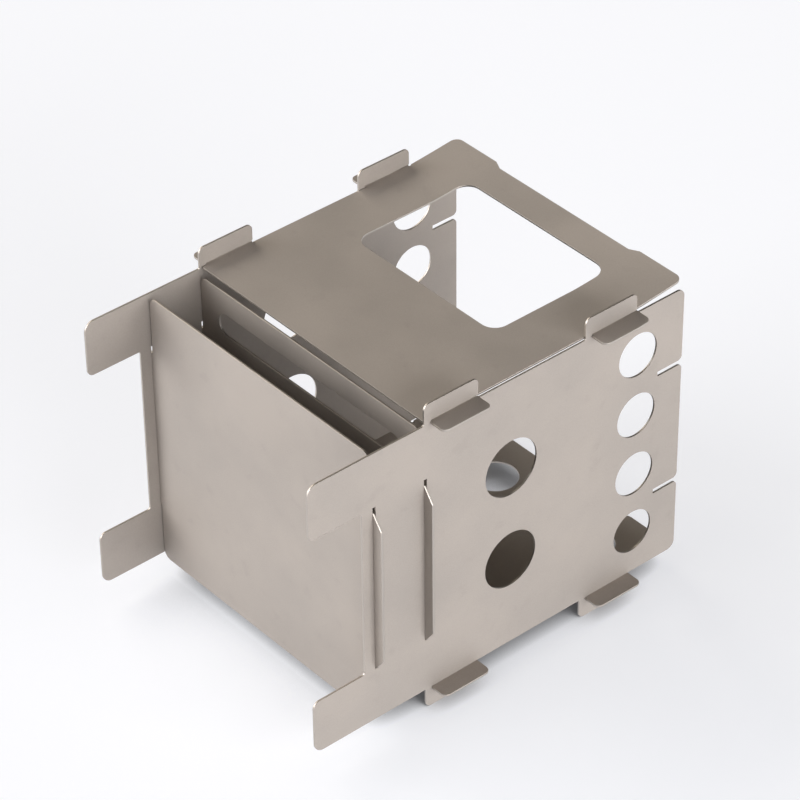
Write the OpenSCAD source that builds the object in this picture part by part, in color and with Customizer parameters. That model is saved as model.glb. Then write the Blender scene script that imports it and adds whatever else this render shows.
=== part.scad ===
// Flat-pack folding wood stove: six laser-cut metal sheets that hook and slot together.
// Upright, in millimetres: feet on z = 0, pot rests on the top edges, the front faces -Y.

/* [Body] */
// Height of the side panels, feet to pot rest
stove_h = 130.6; // [117:0.1:180]
// Width over the outer faces of the two side panels
body_w = 93.0; // [84:0.1:140]
// Depth of the side panels, without their hooks
side_d = 89.2; // [84:0.1:130]
// Thickness of the sheet
sheet_t = 0.6; // [0.4:0.1:1.2]
// Radius of the side panels' top corners
top_corner_r = 2.5; // [1:0.1:5]

/* [Feet] */
// Height of the feet below the side panel's lower edge
foot_h = 17.5; // [10:0.1:19]
// Width of each foot
foot_w = 17.4; // [10:0.1:17.6]
// Radius of the foot's outer corner
foot_corner_r = 3.0; // [1:0.1:5]
// Radius of the foot's inner corner
foot_tip_r = 2.0; // [0.5:0.1:4]
// Radius where the foot meets the panel
foot_root_r = 0.8; // [0.2:0.1:2]

/* [Hooks of the side panels] */
// Height of the lower hooks' underside above the grate's
hook_above_grate = 0.2; // [0:0.1:4]
// Distance between the lower and the upper hooks
hook_pitch = 56.0; // [40:0.1:60]
// Height of each hook
hook_h = 18.4; // [12:0.1:24]
// Reach of the hooks beyond the side panel's edge
hook_reach = 6.5; // [4:0.1:10]
// Height of the neck that joins the hook to the panel
neck_h = 2.4; // [1.5:0.1:4]
// Play of a front or back panel in the hook's slit
slit_play = 0.4; // [0.2:0.05:0.8]
// Radius of the hook's outer corners
hook_corner_r = 1.8; // [0.5:0.1:2.5]
// Radius of the hook's inner tip
hook_tip_r = 0.5; // [0.1:0.05:1]
// Radius under the hook's neck
hook_root_r = 0.4; // [0.1:0.05:1]

/* [Front and back panels] */
// Gap between the grate and the panels' lower edge above it
panel_over_grate = 0.3; // [0.2:0.1:0.8]
// Play between the panel's edge and the inner face of a side panel
panel_play = 0.2; // [0.1:0.05:0.5]
// Radius of the panels' top corners
panel_corner_r = 2.5; // [1:0.1:4]
// Radius of the panels' bottom corners
panel_bottom_r = 0.8; // [0.2:0.1:1.5]
// Reach of the tabs beyond the side panels
tab_reach = 5.6; // [3:0.1:8]
// Radius of the tabs' outer corners
tab_corner_r = 1.8; // [0.5:0.1:2.5]
// Drop of the tab outside the hook's neck, which locks the side panels in
lock_drop = 0.4; // [0.2:0.1:1]
// Play between the locking edge and the side panel's outer face
lock_play = 0.15; // [0.1:0.05:0.4]
// Radius of the round relief at the tab's top end
tab_relief_r = 0.5; // [0.2:0.05:0.8]
// Width of the shallow recess in the top edge, between its ramps
recess_w = 52.0; // [30:0.5:60]
// Length of each ramp of the recess
recess_ramp = 3.0; // [1.5:0.1:5]
// Depth of the recess
recess_depth = 1.4; // [0.6:0.1:3]
// Radius of the recess's bends
recess_r = 1.0; // [0.3:0.1:2]

/* [Feed window of the front panel] */
// Width of the window
window_w = 56.6; // [30:0.1:70]
// Height of the window
window_h = 41.0; // [25:0.1:46]
// Metal left above the window
window_rim = 11.2; // [6:0.1:20]
// Radius of the window's corners
window_r = 4.5; // [1:0.1:10]

/* [Air holes] */
// Radius of the two large holes
large_hole_r = 9.0; // [5:0.1:11]
// Height of the large holes' centres
large_hole_z = 68.7; // [60:0.1:80]
// Distance between the centres of the large holes
large_hole_pitch = 31.2; // [24:0.1:45]
// Radius of the small holes
small_hole_r = 6.9; // [4:0.1:7.3]
// Distance of the small holes' centres below the top edge
small_hole_drop = 16.6; // [15.6:0.1:24]
// Distance between the centres of neighbouring small holes
small_hole_pitch = 20.2; // [17:0.1:21]
// Number of small holes in the row
small_holes = 4; // [2:1:4]

/* [Crossbar slots of the side panels] */
// Distance of the slots from the middle of the top edge
bar_slot_at = 20.2; // [15:0.1:25]
// Depth of the slots
bar_slot_depth = 9.0; // [4:0.1:9]
// Width of the slots
bar_slot_w = 1.5; // [0.8:0.1:2]
// Radius of the slots' mouth
bar_mouth_r = 1.5; // [0.5:0.1:2.5]

/* [Ash plate and grate] */
// Height of the ash plate's underside
ash_z = 21.1; // [20:0.1:26]
// Height of the grate's underside
grate_z = 38.4; // [34:0.1:48]
// Length of the slots in the side panels that hold the two plates
plate_slot_w = 54.4; // [40:0.1:58]
// Play of a plate's thickness in its slot
plate_slot_play = 0.4; // [0.2:0.05:0.8]
// Play of a plate's tab along its slot
plate_tab_play = 2.0; // [0.8:0.1:3]
// Share of that play behind the tab, where the loose plates settle
plate_back_share = 0.05; // [0.05:0.05:0.9]
// Reach of the plates' tabs beyond the side panels
plate_tab_reach = 3.2; // [2:0.1:5]
// Slope of a tab's end, along the tab
plate_tab_slope = 4.4; // [2:0.1:8]
// Radius of the tabs' outer corners
plate_tab_r = 1.2; // [0.3:0.1:2]
// Gap between a plate's edge and a side panel's inner face
plate_gap = 0.4; // [0.2:0.05:0.8]
// Radius of the plates' corners
plate_corner_r = 2.7; // [1:0.1:5]
// Overhang of the ash plate at the front and the back
ash_overhang = 0.2; // [0:0.1:2]
// Inset of the grate at the front and the back
grate_inset = 1.0; // [1:0.1:3]

/* [Grate openings] */
// Number of long slots in the grate
grate_slots = 5; // [3:1:5]
// Width of each slot
grate_slot_w = 7.0; // [3:0.1:9]
// Distance between the centres of neighbouring slots
grate_slot_pitch = 16.4; // [12:0.1:17]
// Metal left between a slot's end and the grate's side edge
grate_rim = 7.5; // [5:0.1:15]

/* [Hidden] */
$fn = 96;

// Outer and inner faces of the side panels, and their front and back edges
side_x = body_w / 2;
inner_x = side_x - sheet_t;
side_y = side_d / 2;
// Inner edge of a foot
foot_y = side_y - foot_w;
// Front of the slit between a hook and its side panel
slit_y = side_y + sheet_t + slit_play;
hook_y = side_y + hook_reach;
// Underside of the lower hooks, and the height of each pair above it
hook_z = grate_z + hook_above_grate;
hook_rises = [0, hook_pitch];
neck_top = hook_z + neck_h;
hook_top = hook_z + hook_h;
// Front and back panels
panel_z = grate_z + sheet_t + panel_over_grate;
panel_x = inner_x - panel_play;
lock_x = side_x + lock_play;
tab_x = side_x + tab_reach;
recess_x = recess_w / 2;
recess_z = stove_h - recess_depth;
window_top = stove_h - window_rim;
small_hole_z = stove_h - small_hole_drop;
// Plates
plate_x = inner_x - plate_gap;
plate_tab_x = side_x + plate_tab_reach;
plate_tab_y = (plate_slot_w - plate_tab_play) / 2;
// Where the loose plates lie, towards the back
plate_shift = plate_tab_play * (0.5 - plate_back_share);
plate_tab_end_y = plate_tab_y - plate_tab_slope;
ash_y = side_y + ash_overhang;
grate_y = side_y - grate_inset;

// An outline is a list of corners [x, y, radius], counter-clockwise.
// The other half of an outline that is symmetric about its y axis
function with_mirror(half) = concat(half, [
    for (i = [len(half) - 1:-1:0]) [-half[i].x, half[i].y, half[i][2]]
]);
function at(corner) = [corner.x, corner.y];
function before(c, i) = at(c[(i + len(c) - 1) % len(c)]);
function after(c, i) = at(c[(i + 1) % len(c)]);
function toward(from, to) = (to - from) / norm(to - from);
// Angle of the corner, from one edge to the other
function opening(c, i) = acos(toward(at(c[i]), before(c, i)) * toward(at(c[i]), after(c, i)));
function is_outer(c, i) = cross(at(c[i]) - before(c, i), after(c, i) - at(c[i])) > 0;
// The corner cut back to the two points where its arc starts and ends
function cut_back(c, i) =
    let (run = c[i][2] / tan(opening(c, i) / 2))
    c[i][2] == 0 ? [at(c[i])] : [
        at(c[i]) + run * toward(at(c[i]), before(c, i)),
        at(c[i]) + run * toward(at(c[i]), after(c, i))
    ];
function arc_centre(c, i) =
    let (to_both = toward(at(c[i]), before(c, i)) + toward(at(c[i]), after(c, i)))
    at(c[i]) + c[i][2] / sin(opening(c, i) / 2) * to_both / norm(to_both);

// Arcs of the outer corners, or of the inner ones
module arcs(c, outer) {
    for (i = [0:len(c) - 1])
        if (c[i][2] > 0 && is_outer(c, i) == outer)
            translate(arc_centre(c, i)) circle(r = c[i][2]);
}

// A flat shape with every corner rounded by its own radius
module rounded(c) {
    difference() {
        union() {
            polygon([for (i = [0:len(c) - 1]) each cut_back(c, i)]);
            arcs(c, true);
        }
        arcs(c, false);
    }
}

// A row of copies along x, centred
module row(count, pitch) {
    for (i = [0:count - 1])
        translate([(i - (count - 1) / 2) * pitch, 0]) children();
}

// The air holes that the side panels and the back panel share
module air_holes() {
    translate([0, large_hole_z]) row(2, large_hole_pitch) circle(r = large_hole_r);
    translate([0, small_hole_z]) row(small_holes, small_hole_pitch) circle(r = small_hole_r);
}

// One hook, from its root on the panel's edge round to the bottom of its slit
function hook(rise) = [
    [side_y, hook_z + rise, hook_root_r],
    [hook_y, hook_z + rise, hook_corner_r],
    [hook_y, hook_top + rise, hook_corner_r],
    [slit_y, hook_top + rise, hook_tip_r],
    [slit_y, neck_top + rise, 0],
    [side_y, neck_top + rise, 0]
];

// Half of the side panel: foot, two hooks and one crossbar slot
side_half = concat(
    [
        [foot_y, foot_h, foot_root_r],
        [foot_y, 0, foot_tip_r],
        [side_y, 0, foot_corner_r]
    ],
    [for (rise = hook_rises) each hook(rise)],
    [
        [side_y, stove_h, top_corner_r],
        [bar_slot_at + bar_slot_w / 2, stove_h, bar_mouth_r],
        [bar_slot_at + bar_slot_w / 2, stove_h - bar_slot_depth, 0],
        [bar_slot_at - bar_slot_w / 2, stove_h - bar_slot_depth, 0],
        [bar_slot_at - bar_slot_w / 2, stove_h, bar_mouth_r]
    ]
);

// Slot that holds a plate's tab, its lower edge under the plate
module plate_slot(z) {
    translate([-plate_slot_w / 2, z]) square([plate_slot_w, sheet_t + plate_slot_play]);
}

module side_sheet() {
    linear_extrude(sheet_t) difference() {
        rounded(with_mirror(side_half));
        air_holes();
        plate_slot(ash_z);
        plate_slot(grate_z);
    }
}

module side_panel_right() {
    color("#bab0a5") translate([inner_x, 0, 0]) rotate([90, 0, 90]) side_sheet();
}

module side_panel_left() {
    color("#b7ada2") mirror([1, 0, 0]) translate([inner_x, 0, 0]) rotate([90, 0, 90]) side_sheet();
}

// One tab: it rests on the hook's neck and drops past it outside the side panel
function tab(rise) = [
    [panel_x, neck_top + rise, 0],
    [lock_x, neck_top + rise, 0],
    [lock_x, neck_top - lock_drop + rise, 0],
    [tab_x, neck_top - lock_drop + rise, tab_corner_r],
    [tab_x, hook_top + rise, tab_corner_r],
    [panel_x, hook_top + rise, 0]
];

panel_half = concat(
    [[panel_x, panel_z, panel_bottom_r]],
    [for (rise = hook_rises) each tab(rise)],
    [
        [panel_x, stove_h, panel_corner_r],
        [recess_x + recess_ramp, stove_h, recess_r],
        [recess_x, recess_z, recess_r]
    ]
);

// Round reliefs where the tabs' top ends meet the panel's edge
module tab_reliefs() {
    for (side = [-1, 1], rise = hook_rises)
        translate([side * panel_x, hook_top + rise]) circle(r = tab_relief_r);
}

module panel_outline() {
    difference() {
        rounded(with_mirror(panel_half));
        tab_reliefs();
    }
}

module window() {
    x = window_w / 2;
    rounded(with_mirror([[x, window_top - window_h, window_r], [x, window_top, window_r]]));
}

module front_panel() {
    color("#92897e") translate([0, -side_y, 0]) rotate([90, 0, 0]) linear_extrude(sheet_t) difference() {
        panel_outline();
        window();
    }
}

module back_panel() {
    color("#8b8277") translate([0, side_y + sheet_t, 0]) rotate([90, 0, 0]) linear_extrude(sheet_t) difference() {
        panel_outline();
        air_holes();
    }
}

// A plate with a sloped tab on each side, from its half depth
module plate_outline(y) {
    rounded(with_mirror([
        [plate_x, -y, plate_corner_r],
        [plate_x, -plate_tab_y, 0],
        [side_x, -plate_tab_y, 0],
        [plate_tab_x, -plate_tab_end_y, plate_tab_r],
        [plate_tab_x, plate_tab_end_y, plate_tab_r],
        [side_x, plate_tab_y, 0],
        [plate_x, plate_tab_y, 0],
        [plate_x, y, plate_corner_r]
    ]));
}

module ash_plate() {
    color("#b4aa9f") translate([0, plate_shift, ash_z]) linear_extrude(sheet_t) plate_outline(ash_y);
}

// Long slot with round ends, along x
module grate_slot() {
    end_x = plate_x - grate_rim - grate_slot_w / 2;
    square([2 * end_x, grate_slot_w], center = true);
    for (side = [-1, 1])
        translate([side * end_x, 0]) circle(d = grate_slot_w);
}

module fire_grate() {
    color("#a09689") translate([0, plate_shift, grate_z]) linear_extrude(sheet_t) difference() {
        plate_outline(grate_y);
        rotate(90) row(grate_slots, grate_slot_pitch) rotate(-90) grate_slot();
    }
}

side_panel_right();
side_panel_left();
front_panel();
back_panel();
ash_plate();
fire_grate();
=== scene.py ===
"""Looks of the flat-pack wood stove: satin titanium sheets, seen lying on its back in a pale studio."""

import logging
import math
from dataclasses import dataclass, field
from enum import Enum

import bmesh
import bpy
from mathutils import Matrix, Vector


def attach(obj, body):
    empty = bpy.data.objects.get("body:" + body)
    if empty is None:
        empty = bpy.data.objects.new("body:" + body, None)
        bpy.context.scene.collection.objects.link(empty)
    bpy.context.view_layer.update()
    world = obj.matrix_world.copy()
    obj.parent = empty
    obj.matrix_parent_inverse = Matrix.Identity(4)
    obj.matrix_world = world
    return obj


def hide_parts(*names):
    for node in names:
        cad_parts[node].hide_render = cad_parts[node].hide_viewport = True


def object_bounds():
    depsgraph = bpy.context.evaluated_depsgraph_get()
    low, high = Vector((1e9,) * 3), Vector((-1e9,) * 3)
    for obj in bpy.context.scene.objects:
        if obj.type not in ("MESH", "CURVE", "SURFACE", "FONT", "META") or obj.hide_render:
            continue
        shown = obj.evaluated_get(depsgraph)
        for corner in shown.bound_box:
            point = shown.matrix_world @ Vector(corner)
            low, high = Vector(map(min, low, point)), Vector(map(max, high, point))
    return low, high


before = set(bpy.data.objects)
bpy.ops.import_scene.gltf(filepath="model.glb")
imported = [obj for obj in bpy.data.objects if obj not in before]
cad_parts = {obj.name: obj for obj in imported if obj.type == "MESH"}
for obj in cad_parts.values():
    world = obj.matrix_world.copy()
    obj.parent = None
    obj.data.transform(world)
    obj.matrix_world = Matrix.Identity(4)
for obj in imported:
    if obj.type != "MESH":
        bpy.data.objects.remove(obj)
CAD_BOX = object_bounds()

log = logging.getLogger("stove")

MM = 0.001
NOISE_MEAN = 0.5
NOISE_SPAN = (0.3, 0.7)
Colour = tuple[float, float, float]


class SheetAxis(Enum):
    """The direction that a sheet's thickness runs in."""

    SIDE_PANEL = (1.0, 0.0, 0.0)
    UPRIGHT_PANEL = (0.0, 1.0, 0.0)
    PLATE = (0.0, 0.0, 1.0)


class Graph:
    """One node tree, with short ways to add nodes and join them."""

    def __init__(self, tree: bpy.types.NodeTree) -> None:
        """Start from an empty tree.

        Args:
            tree: The shader or geometry tree to fill.
        """
        self.tree = tree
        tree.nodes.clear()

    def add(self, kind: str, **settings: object) -> bpy.types.Node:
        """Add one node.

        Args:
            kind: The node's type name.
            **settings: Properties to set on the node.

        Returns:
            The new node.
        """
        node = self.tree.nodes.new(kind)
        for name, value in settings.items():
            setattr(node, name, value)
        return node

    def feed(self, socket: bpy.types.NodeSocket, value: object) -> None:
        """Link a socket into an input, or set the input to a plain value.

        Args:
            socket: The input.
            value: An output socket, or what the input is set to.
        """
        if isinstance(value, bpy.types.NodeSocket):
            self.tree.links.new(value, socket)
        else:
            socket.default_value = value

    def math(self, operation: str, *values: object) -> bpy.types.NodeSocket:
        """Add a Math node.

        Args:
            operation: The node's operation.
            *values: What goes into its inputs.

        Returns:
            The result's socket.
        """
        node = self.add("ShaderNodeMath", operation=operation)
        for socket, value in zip(node.inputs, values):
            self.feed(socket, value)
        return node.outputs[0]

    def vector(self, operation: str, *values: object) -> bpy.types.Node:
        """Add a Vector Math node.

        Args:
            operation: The node's operation.
            *values: What goes into its inputs.

        Returns:
            The node, whose output is Vector or Value.
        """
        node = self.add("ShaderNodeVectorMath", operation=operation)
        for socket, value in zip(node.inputs, values):
            self.feed(socket, value)
        return node

    def noise(self, coords: bpy.types.NodeSocket, scale: float, detail: float) -> bpy.types.NodeSocket:
        """Add a Noise texture.

        Args:
            coords: Where the noise is read.
            scale: Cells per metre.
            detail: Octaves.

        Returns:
            The noise's value, about 0.5.
        """
        node = self.add("ShaderNodeTexNoise")
        self.feed(node.inputs["Vector"], coords)
        node.inputs["Scale"].default_value = scale
        node.inputs["Detail"].default_value = detail
        return node.outputs["Fac"]

    def blend(self, factor: object, low: object, high: object) -> bpy.types.NodeSocket:
        """Mix two colours.

        Args:
            factor: 0 gives low and 1 gives high.
            low: A colour or a socket.
            high: A colour or a socket.

        Returns:
            The mixed colour's socket.
        """
        node = self.add("ShaderNodeMix", data_type="RGBA")
        self.feed(node.inputs["Factor"], factor)
        self.feed(node.inputs["A"], low)
        self.feed(node.inputs["B"], high)
        return node.outputs["Result"]

    def ramp(self, value: object, low: float, high: float, to_low: float,
             to_high: float) -> bpy.types.NodeSocket:
        """Map one range onto another, clamped.

        Args:
            value: What is mapped.
            low: Start of the first range.
            high: End of the first range.
            to_low: Start of the second range.
            to_high: End of the second range.

        Returns:
            The mapped value's socket.
        """
        node = self.add("ShaderNodeMapRange")
        names = ("Value", "From Min", "From Max", "To Min", "To Max")
        for name, number in zip(names, (value, low, high, to_low, to_high)):
            self.feed(node.inputs[name], number)
        return node.outputs["Result"]


def rgba(colour: Colour) -> tuple[float, float, float, float]:
    """Give a colour its alpha."""
    return (*colour, 1.0)


@dataclass(frozen=True)
class Surface:
    """What blasting, rolling and handling leave on both faces of the sheet.

    Scales are in cells per metre. Wide clouds set the tone and the gloss, smudges add to the gloss
    and leave faint marks at their strongest, and the grain is what the blasting leaves.
    """

    cloud_scale: float = 34.0
    cloud_detail: float = 3.0
    smudge_scale: float = 180.0
    smudge_detail: float = 4.0
    grain_scale: float = 3800.0
    grain_detail: float = 2.0
    smudge_share: float = 0.35
    grain_share: float = 0.5
    mark_limits: tuple[float, float] = (0.62, 0.72)
    mark_share: float = 0.10

    def group(self) -> bpy.types.NodeTree:
        """Build the shader group that all the sheets share.

        Returns:
            A group with the outputs Tone, Gloss and Height, all about 0.5.
        """
        tree = bpy.data.node_groups.new("blasted_sheet", "ShaderNodeTree")
        sockets = tree.interface
        sockets.new_socket("Coordinates", in_out="INPUT", socket_type="NodeSocketVector")
        sockets.new_socket("Shift", in_out="INPUT", socket_type="NodeSocketVector")
        for name in ("Tone", "Gloss", "Height"):
            sockets.new_socket(name, in_out="OUTPUT", socket_type="NodeSocketFloat")
        graph = Graph(tree)
        given = graph.add("NodeGroupInput")
        coords = graph.vector("ADD", given.outputs["Coordinates"], given.outputs["Shift"]).outputs[0]
        clouds = graph.noise(coords, self.cloud_scale, self.cloud_detail)
        smudges = graph.noise(coords, self.smudge_scale, self.smudge_detail)
        grain = graph.noise(coords, self.grain_scale, self.grain_detail)
        marks = graph.ramp(smudges, *self.mark_limits, 0.0, self.mark_share)
        specks = graph.math("SUBTRACT", grain, NOISE_MEAN)
        tone = graph.math("MULTIPLY_ADD", specks, self.grain_share, clouds)
        tone = graph.math("SUBTRACT", tone, marks)
        smears = graph.math("SUBTRACT", smudges, NOISE_MEAN)
        gloss = graph.math("MULTIPLY_ADD", smears, self.smudge_share, clouds)
        end = graph.add("NodeGroupOutput")
        graph.feed(end.inputs["Tone"], tone)
        graph.feed(end.inputs["Gloss"], gloss)
        graph.feed(end.inputs["Height"], grain)
        return tree


@dataclass(frozen=True)
class CutEdge:
    """The narrow face that the laser leaves, with its striations.

    The limits say how far a normal may turn from the sheet's thickness before its face counts as cut.
    """

    face_limits: tuple[float, float] = (0.5, 0.7)
    striation_scale: float = 5200.0
    striation_detail: float = 2.0

    def group(self) -> bpy.types.NodeTree:
        """Build the shader group that finds a sheet's cut edges.

        Returns:
            A group with the outputs Mask, 1 on a cut edge, and Striation.
        """
        tree = bpy.data.node_groups.new("laser_cut_edge", "ShaderNodeTree")
        sockets = tree.interface
        sockets.new_socket("Coordinates", in_out="INPUT", socket_type="NodeSocketVector")
        sockets.new_socket("Normal", in_out="INPUT", socket_type="NodeSocketVector")
        sockets.new_socket("Sheet Axis", in_out="INPUT", socket_type="NodeSocketVector")
        for name in ("Mask", "Striation"):
            sockets.new_socket(name, in_out="OUTPUT", socket_type="NodeSocketFloat")
        graph = Graph(tree)
        given = graph.add("NodeGroupInput")
        axis = given.outputs["Sheet Axis"]
        facing = graph.vector("DOT_PRODUCT", given.outputs["Normal"], axis).outputs["Value"]
        mask = graph.ramp(graph.math("ABSOLUTE", facing), *self.face_limits, 1.0, 0.0)
        across = graph.vector("SUBTRACT", (1.0, 1.0, 1.0), axis).outputs[0]
        along = graph.vector("MULTIPLY", given.outputs["Coordinates"], across).outputs[0]
        striation = graph.noise(along, self.striation_scale, self.striation_detail)
        end = graph.add("NodeGroupOutput")
        graph.feed(end.inputs["Mask"], mask)
        graph.feed(end.inputs["Striation"], striation)
        return tree


@dataclass(frozen=True)
class SatinTitanium:
    """Bare titanium sheet with a blasted, warm grey satin face and laser-cut edges.

    Light and dark are the tones between which the clouds move, and a relief is a depth in metres.
    """

    light: Colour = (0.512, 0.466, 0.428)
    dark: Colour = (0.452, 0.413, 0.381)
    edge: Colour = (0.49, 0.45, 0.41)
    roughness: tuple[float, float] = (0.72, 0.78)
    edge_roughness: float = 0.44
    edge_relief: float = 0.01 * MM
    face_relief: float = 0.004 * MM

    def material(self, name: str, axis: SheetAxis, shift: tuple[float, float, float],
                 faces: bpy.types.NodeTree, edges: bpy.types.NodeTree) -> bpy.types.Material:
        """Build the material of one sheet.

        Args:
            name: The material's name.
            axis: The direction of the sheet's thickness.
            shift: Moves the clouds, so that no two sheets are alike.
            faces: The group from Surface.
            edges: The group from CutEdge.

        Returns:
            The material.
        """
        made = bpy.data.materials.new(name)
        made.use_nodes = True
        graph = Graph(made.node_tree)
        place = graph.add("ShaderNodeTexCoord")
        face = graph.add("ShaderNodeGroup", node_tree=faces)
        graph.feed(face.inputs["Coordinates"], place.outputs["Object"])
        graph.feed(face.inputs["Shift"], shift)
        edge = graph.add("ShaderNodeGroup", node_tree=edges)
        graph.feed(edge.inputs["Coordinates"], place.outputs["Object"])
        graph.feed(edge.inputs["Normal"], place.outputs["Normal"])
        graph.feed(edge.inputs["Sheet Axis"], axis.value)
        mask = edge.outputs["Mask"]
        tone = graph.ramp(face.outputs["Tone"], *NOISE_SPAN, 0.0, 1.0)
        colour = graph.blend(tone, rgba(self.dark), rgba(self.light))
        colour = graph.blend(mask, colour, rgba(self.edge))
        dull = graph.ramp(face.outputs["Gloss"], *NOISE_SPAN, *self.roughness)
        dull = graph.math("MULTIPLY_ADD", mask, graph.math("SUBTRACT", self.edge_roughness, dull), dull)
        height = graph.math("MULTIPLY", face.outputs["Height"], self.face_relief)
        ridges = graph.math("MULTIPLY", edge.outputs["Striation"], self.edge_relief)
        height = graph.math("MULTIPLY_ADD", mask, graph.math("SUBTRACT", ridges, height), height)
        bump = graph.add("ShaderNodeBump")
        bump.inputs["Strength"].default_value = 1.0
        bump.inputs["Distance"].default_value = 1.0
        graph.feed(bump.inputs["Height"], height)
        shader = graph.add("ShaderNodeBsdfPrincipled")
        shader.inputs["Metallic"].default_value = 1.0
        graph.feed(shader.inputs["Base Color"], colour)
        graph.feed(shader.inputs["Roughness"], dull)
        graph.feed(shader.inputs["Normal"], bump.outputs["Normal"])
        end = graph.add("ShaderNodeOutputMaterial")
        graph.feed(end.inputs["Surface"], shader.outputs["BSDF"])
        return made


@dataclass
class Sheet:
    """One laser-cut sheet, deburred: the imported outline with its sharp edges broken.

    The shift moves the sheet's clouds, so that no two sheets are alike.
    """

    node: str
    body: str
    axis: SheetAxis
    shift: float
    edge_break: float = 0.07 * MM
    break_steps: int = 2
    break_profile: float = 0.5
    weld: float = 0.001 * MM
    face_limit: float = 0.98
    flat_angle: float = math.radians(0.5)
    arc_angle: float = math.radians(30.0)
    finish: SatinTitanium = field(default_factory=SatinTitanium)

    def is_face(self, face: bmesh.types.BMFace) -> bool:
        """Tell a flat side of the sheet from its rim."""
        return abs(face.normal.dot(Vector(self.axis.value))) > self.face_limit

    def outline(self) -> bmesh.types.BMesh:
        """Copy the node's mesh, welded, with one face for each flat side.

        Returns:
            The copy, still with sharp edges.
        """
        made = bmesh.new()
        made.from_mesh(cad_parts[self.node].data)
        bmesh.ops.remove_doubles(made, verts=made.verts, dist=self.weld)
        bmesh.ops.dissolve_limit(made, angle_limit=self.flat_angle, verts=made.verts, edges=made.edges)
        return made

    def rim_edges(self, made: bmesh.types.BMesh) -> list[bmesh.types.BMEdge]:
        """Find the edges between the sheet's flat sides and its rim.

        Args:
            made: The sheet.

        Returns:
            The edges.
        """
        pairs = [(edge, edge.link_faces) for edge in made.edges if len(edge.link_faces) == 2]
        return [edge for edge, (one, other) in pairs if self.is_face(one) != self.is_face(other)]

    def break_edges(self, made: bmesh.types.BMesh) -> None:
        """Round the sheet's edges slightly, as tumbling does.

        Args:
            made: The sheet, changed in place.
        """
        bmesh.ops.bevel(made, geom=self.rim_edges(made), offset=self.edge_break, offset_type="OFFSET",
                        segments=self.break_steps, profile=self.break_profile, affect="EDGES",
                        clamp_overlap=False)
        made.normal_update()

    def smooth(self, made: bmesh.types.BMesh) -> None:
        """Shade the arcs and broken edges smooth, and keep the flat sides flat.

        Args:
            made: The sheet, changed in place.
        """
        for face in made.faces:
            face.smooth = True
        for edge in made.edges:
            sides = edge.link_faces
            bent = edge.calc_face_angle(0.0) > self.arc_angle
            edge.smooth = not (bent or self.is_face(sides[0]) != self.is_face(sides[-1]))

    def shape(self, made: bmesh.types.BMesh) -> bmesh.types.BMesh:
        """Change the sheet's form, where the real one isn't flat."""
        return made

    def build(self, faces: bpy.types.NodeTree, edges: bpy.types.NodeTree) -> None:
        """Make the sheet, dress it and put it in the node's place.

        Args:
            faces: The group from Surface.
            edges: The group from CutEdge.
        """
        made = self.outline()
        self.break_edges(made)
        self.smooth(made)
        made = self.shape(made)
        name = f"{self.node}_sheet"
        mesh = bpy.data.meshes.new(name)
        made.to_mesh(mesh)
        made.free()
        shift = (self.shift, self.shift, self.shift)
        finish = self.finish.material(f"titanium_{self.node}", self.axis, shift, faces, edges)
        mesh.materials.append(finish)
        piece = bpy.data.objects.new(name, mesh)
        bpy.context.scene.collection.objects.link(piece)
        self.finish_mesh(piece)
        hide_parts(self.node)
        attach(piece, self.body)
        log.info("built %s with %d faces", piece.name, len(piece.data.polygons))

    def finish_mesh(self, piece: bpy.types.Object) -> None:
        """Run the last step on the mesh, where a sheet has one."""


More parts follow.
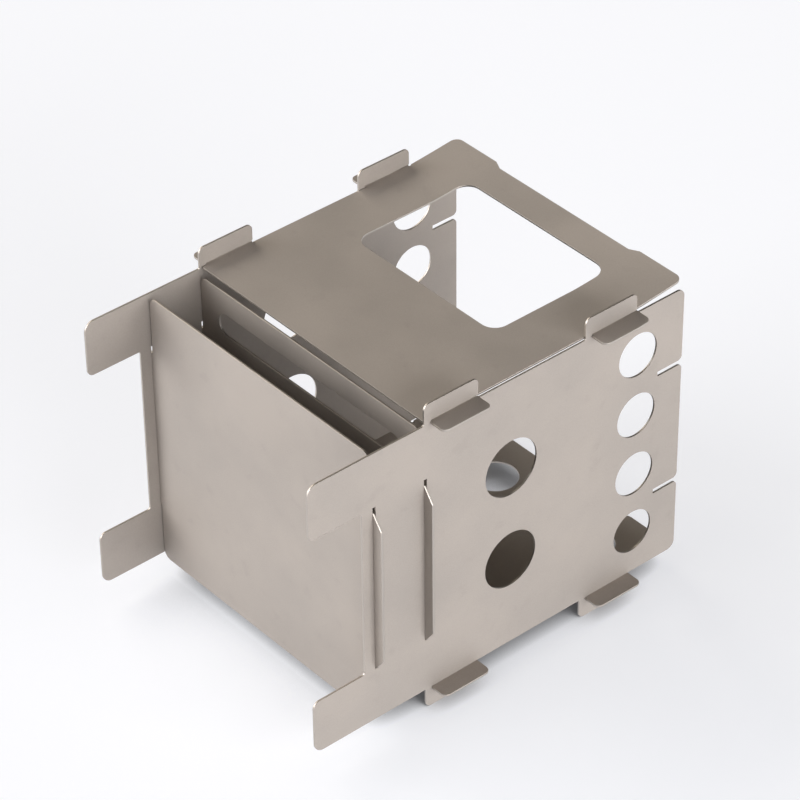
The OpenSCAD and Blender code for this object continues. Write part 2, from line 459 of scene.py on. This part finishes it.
@dataclass
class FlaredSheet(Sheet):
    """The front panel, whose free end above its upper tabs stands off the side panels.

    The flare starts and ends at two heights, and its reach is how far the end stands off.
    """

    flare_start: float = 107.0 * MM
    flare_end: float = 130.6 * MM
    flare_reach: float = 2.05 * MM
    flare_power: float = 1.25
    strip: float = 1.2 * MM

    def shape(self, made: bmesh.types.BMesh) -> bmesh.types.BMesh:
        """Cut the flaring end into strips, so that it can bend.

        Args:
            made: The flat sheet.

        Returns:
            The same sheet with more edges.
        """
        height = self.flare_start
        while height < self.flare_end:
            geometry = made.verts[:] + made.edges[:] + made.faces[:]
            bmesh.ops.bisect_plane(made, geom=geometry, dist=self.weld, plane_co=(0.0, 0.0, height),
                                   plane_no=(0.0, 0.0, 1.0))
            height += self.strip
        return made

    def tree(self) -> tuple[bpy.types.NodeTree, dict[str, str]]:
        """Build the geometry tree that bends the sheet outwards by a power of the height.

        Returns:
            The tree, and the identifier of each named input.
        """
        tree = bpy.data.node_groups.new("flared_end", "GeometryNodeTree")
        sockets = tree.interface
        sockets.new_socket("Geometry", in_out="INPUT", socket_type="NodeSocketGeometry")
        names = ("Flare Start", "Flare End", "Flare Reach", "Flare Power")
        known = {name: sockets.new_socket(name, in_out="INPUT", socket_type="NodeSocketFloat").identifier
                 for name in names}
        finish = sockets.new_socket("Finish", in_out="INPUT", socket_type="NodeSocketMaterial")
        known["Finish"] = finish.identifier
        sockets.new_socket("Geometry", in_out="OUTPUT", socket_type="NodeSocketGeometry")
        graph = Graph(tree)
        given = graph.add("NodeGroupInput").outputs
        place = graph.add("ShaderNodeSeparateXYZ")
        graph.feed(place.inputs[0], graph.add("GeometryNodeInputPosition").outputs[0])
        above = graph.math("SUBTRACT", place.outputs["Z"], given["Flare Start"])
        above = graph.math("MAXIMUM", above, 0.0)
        length = graph.math("SUBTRACT", given["Flare End"], given["Flare Start"])
        share = graph.math("POWER", graph.math("DIVIDE", above, length), given["Flare Power"])
        out = graph.math("MULTIPLY", share, given["Flare Reach"])
        push = graph.add("ShaderNodeCombineXYZ")
        graph.feed(push.inputs["Y"], graph.math("MULTIPLY", out, -1.0))
        bend = graph.add("GeometryNodeSetPosition")
        graph.feed(bend.inputs["Geometry"], given["Geometry"])
        graph.feed(bend.inputs["Offset"], push.outputs[0])
        real = graph.add("GeometryNodeRealizeInstances")
        graph.feed(real.inputs[0], bend.outputs[0])
        dressed = graph.add("GeometryNodeSetMaterial")
        graph.feed(dressed.inputs["Geometry"], real.outputs[0])
        graph.feed(dressed.inputs["Material"], given["Finish"])
        graph.feed(graph.add("NodeGroupOutput").inputs["Geometry"], dressed.outputs[0])
        return tree, known

    def finish_mesh(self, piece: bpy.types.Object) -> None:
        """Bend the sheet and keep the result as a plain mesh.

        Args:
            piece: The sheet's object.
        """
        tree, known = self.tree()
        bend = piece.modifiers.new("flare", "NODES")
        bend.node_group = tree
        bend[known["Flare Start"]] = self.flare_start
        bend[known["Flare End"]] = self.flare_end
        bend[known["Flare Reach"]] = self.flare_reach
        bend[known["Flare Power"]] = self.flare_power
        bend[known["Finish"]] = piece.data.materials[0]
        seen = piece.evaluated_get(bpy.context.evaluated_depsgraph_get())
        flat = piece.data
        bent = bpy.data.meshes.new_from_object(seen)
        piece.modifiers.remove(bend)
        piece.data = bent
        bpy.data.meshes.remove(flat)
        bent.name = piece.name


def plane(name: str, corners: list[Vector], material: bpy.types.Material) -> bpy.types.Object:
    """Make one flat face that belongs to the studio.

    Args:
        name: The object's name.
        corners: Its corners, counter-clockwise as seen from its front.
        material: Its material.

    Returns:
        The object.
    """
    mesh = bpy.data.meshes.new(name)
    mesh.from_pydata([tuple(c) for c in corners], [], [tuple(range(len(corners)))])
    mesh.materials.append(material)
    made = bpy.data.objects.new(name, mesh)
    bpy.context.scene.collection.objects.link(made)
    return made


def aim(made: bpy.types.Object, place: Vector, looks: Vector, up: Vector) -> None:
    """Place a lamp or camera.

    Args:
        made: The lamp or camera.
        place: Where it stands.
        looks: The direction that it looks in.
        up: The direction towards the top of what it sees.
    """
    back = -looks.normalized()
    right = up.cross(back).normalized()
    top = back.cross(right)
    made.matrix_world = Matrix.LocRotScale(place, Matrix((right, top, back)).transposed(), None)


@dataclass(frozen=True)
class Softbox:
    """One large oblong lamp, aimed at the stove."""

    name: str
    place: tuple[float, float, float]
    width: float
    height: float
    glow: float
    tint: Colour = (1.0, 1.0, 1.0)

    def build(self) -> None:
        """Put the lamp up, out of the camera's sight."""
        lamp = bpy.data.lights.new(self.name, "AREA")
        lamp.color = self.tint
        lamp.shape = "RECTANGLE"
        lamp.size = self.width
        lamp.size_y = self.height
        lamp.energy = self.glow * math.pi * self.width * self.height
        made = bpy.data.objects.new(self.name, lamp)
        made.visible_camera = False
        bpy.context.scene.collection.objects.link(made)
        place = Vector(self.place)
        aim(made, place, -place, Vector((0.0, -1.0, 0.0)))


@dataclass
class Studio:
    """The pale floor that the stove lies on, and the plain soft light above it.

    The stove lies on its back hooks, so the floor is behind it and its upward direction is -Y. A
    ground under its feet shows only to a camera above it, for views of the stove standing.

    The paint is what the floor makes of the lamps' light, and the paper's glow gives it the rest of
    its paleness, which falls to the shade's glow where the stove covers the floor.
    """

    backdrop: Colour = (0.915, 0.924, 0.962)
    paint: Colour = (0.38, 0.384, 0.398)
    paper_glow: float = 0.665
    shade_glow: float = 0.06
    shade_reach: float = 0.2
    shade_samples: int = 32
    shade_range: tuple[float, float] = (0.13, 0.52)
    first_bounce: float = 1.5
    floor_reach: float = 6.0
    ground_drop: float = 0.2 * MM
    ground_glow: tuple[float, float] = (0.30, 0.97)
    ground_range: tuple[float, float] = (0.05, 0.80)
    room: Colour = (0.078, 0.072, 0.064)
    softboxes: tuple[Softbox, ...] = (
        Softbox("right_softbox", (4.7, -1.12, 0.0), width=5.1, height=2.25, glow=8.2),
        Softbox("front_softbox", (-2.19, -1.95, -3.80), width=5.1, height=4.05, glow=4.4),
        Softbox("top_softbox", (-3.75, -3.0, 0.0), width=2.7, height=2.7, glow=3.6,
                tint=(1.0, 0.92, 0.80)),
    )

    def openness(self, graph: Graph) -> bpy.types.NodeSocket:
        """Measure how open the space above the paper is.

        Args:
            graph: The node tree that asks.

        Returns:
            0 where the stove covers the paper and 1 far from it.
        """
        near = graph.add("ShaderNodeAmbientOcclusion", samples=self.shade_samples)
        near.inputs["Distance"].default_value = self.shade_reach
        return near.outputs["AO"]

    def glow_level(self, graph: Graph) -> bpy.types.NodeSocket:
        """Set the floor's glow: shaded under the stove for the camera, and plain in first reflections.

        Args:
            graph: The node tree that asks.

        Returns:
            The glow's strength, 0 for the rays that carry light.
        """
        shaded = graph.ramp(self.openness(graph), *self.shade_range, self.shade_glow, self.paper_glow)
        seen = graph.add("ShaderNodeLightPath").outputs
        mirrored = graph.math("MAXIMUM", seen["Is Glossy Ray"], seen["Is Transmission Ray"])
        first = graph.math("LESS_THAN", seen["Ray Depth"], self.first_bounce)
        mirrored = graph.math("MULTIPLY", mirrored, graph.math("MULTIPLY", first, self.paper_glow))
        return graph.math("MULTIPLY_ADD", seen["Is Camera Ray"], shaded, mirrored)

    def show_front(self, graph: Graph, shader: bpy.types.NodeSocket) -> None:
        """End a material that shows on a sheet's front and is clear from behind.

        Args:
            graph: The material's node tree.
            shader: What the front shows.
        """
        facing = graph.add("ShaderNodeNewGeometry")
        mix = graph.add("ShaderNodeMixShader")
        graph.feed(mix.inputs[0], facing.outputs["Backfacing"])
        graph.feed(mix.inputs[1], shader)
        graph.feed(mix.inputs[2], graph.add("ShaderNodeBsdfTransparent").outputs[0])
        graph.feed(graph.add("ShaderNodeOutputMaterial").inputs["Surface"], mix.outputs[0])

    def glowing(self, graph: Graph, strength: bpy.types.NodeSocket) -> bpy.types.NodeSocket:
        """Add a glow in the backdrop's colour.

        Args:
            graph: The material's node tree.
            strength: The glow's strength.

        Returns:
            The emission shader's socket.
        """
        glow = graph.add("ShaderNodeEmission")
        glow.inputs["Color"].default_value = rgba(self.backdrop)
        graph.feed(glow.inputs["Strength"], strength)
        return glow.outputs[0]

    def floor_material(self) -> bpy.types.Material:
        """Make the floor's paper, which takes the stove's shadow.

        Returns:
            The material.
        """
        made = bpy.data.materials.new("studio_floor")
        made.use_nodes = True
        graph = Graph(made.node_tree)
        paper = graph.add("ShaderNodeBsdfDiffuse")
        paper.inputs["Color"].default_value = rgba(self.paint)
        both = graph.add("ShaderNodeAddShader")
        graph.feed(both.inputs[0], paper.outputs[0])
        graph.feed(both.inputs[1], self.glowing(graph, self.glow_level(graph)))
        self.show_front(graph, both.outputs[0])
        return made

    def ground_material(self) -> bpy.types.Material:
        """Make the ground's paper, which only shades under the stove.

        Returns:
            The material.
        """
        made = bpy.data.materials.new("studio_ground")
        made.use_nodes = True
        graph = Graph(made.node_tree)
        level = graph.ramp(self.openness(graph), *self.ground_range, *self.ground_glow)
        self.show_front(graph, self.glowing(graph, level))
        return made

    def build_floor(self) -> None:
        """Lay the floor where the back hooks touch it."""
        y = CAD_BOX[1].y
        r = self.floor_reach
        corners = [Vector((-r, y, -r)), Vector((r, y, -r)), Vector((r, y, r)), Vector((-r, y, r))]
        floor = plane("floor", corners, self.floor_material())
        floor.visible_shadow = False
        log.info("laid the floor at y %.4f", y)

    def build_ground(self) -> None:
        """Lay the ground just under the feet, in the camera's sight alone."""
        z = CAD_BOX[0].z - self.ground_drop
        r = self.floor_reach
        corners = [Vector((-r, -r, z)), Vector((r, -r, z)), Vector((r, r, z)), Vector((-r, r, z))]
        ground = plane("ground", corners, self.ground_material())
        ground.visible_shadow = False
        ground.visible_diffuse = False
        ground.visible_glossy = False
        ground.visible_transmission = False
        log.info("laid the ground at z %.4f", z)

    def build_world(self) -> None:
        """Make the room dim around the stove and pale to the camera."""
        world = bpy.data.worlds.new("studio_world")
        world.use_nodes = True
        bpy.context.scene.world = world
        graph = Graph(world.node_tree)
        glow = graph.add("ShaderNodeBackground")
        path = graph.add("ShaderNodeLightPath")
        colour = graph.blend(path.outputs["Is Camera Ray"], rgba(self.room), rgba(self.backdrop))
        graph.feed(glow.inputs["Color"], colour)
        end = graph.add("ShaderNodeOutputWorld")
        graph.feed(end.inputs["Surface"], glow.outputs[0])

    def build(self) -> None:
        """Set up the whole studio."""
        self.build_floor()
        self.build_ground()
        for softbox in self.softboxes:
            softbox.build()
        self.build_world()
        bpy.context.scene.view_settings.view_transform = "Standard"


@dataclass(frozen=True)
class PhotoCamera:
    """The camera at the photograph's viewing angle."""

    place: tuple[float, float, float] = (0.621035, -0.628372, -0.454073)
    looks: tuple[float, float, float] = (-0.608507, 0.605079, 0.513419)
    up: tuple[float, float, float] = (-0.454652, -0.796108, 0.399379)
    sensor: float = 36.0
    lens: float = 169.177

    def build(self) -> None:
        """Make the camera and set it as the scene's."""
        camera = bpy.data.cameras.new("photo_camera")
        camera.sensor_width = self.sensor
        camera.lens = self.lens
        made = bpy.data.objects.new("photo_camera", camera)
        bpy.context.scene.collection.objects.link(made)
        aim(made, Vector(self.place), Vector(self.looks), Vector(self.up))
        bpy.context.scene.camera = made


def main() -> None:
    """Build the looks in order."""
    logging.basicConfig(level=logging.INFO, format="%(name)s: %(message)s")
    faces = Surface().group()
    edges = CutEdge().group()
    sheets = (
        Sheet("side_panel_right", "frame", SheetAxis.SIDE_PANEL, shift=0.1),
        Sheet("side_panel_left", "frame", SheetAxis.SIDE_PANEL, shift=0.47),
        FlaredSheet("front_panel", "front", SheetAxis.UPRIGHT_PANEL, shift=1.3),
        Sheet("back_panel", "back", SheetAxis.UPRIGHT_PANEL, shift=1.67),
        Sheet("ash_plate", "frame", SheetAxis.PLATE, shift=2.9),
        Sheet("fire_grate", "frame", SheetAxis.PLATE, shift=3.27),
    )
    for sheet in sheets:
        sheet.build(faces, edges)
    Studio().build()
    PhotoCamera().build()


if __name__ == "__main__":
    main()
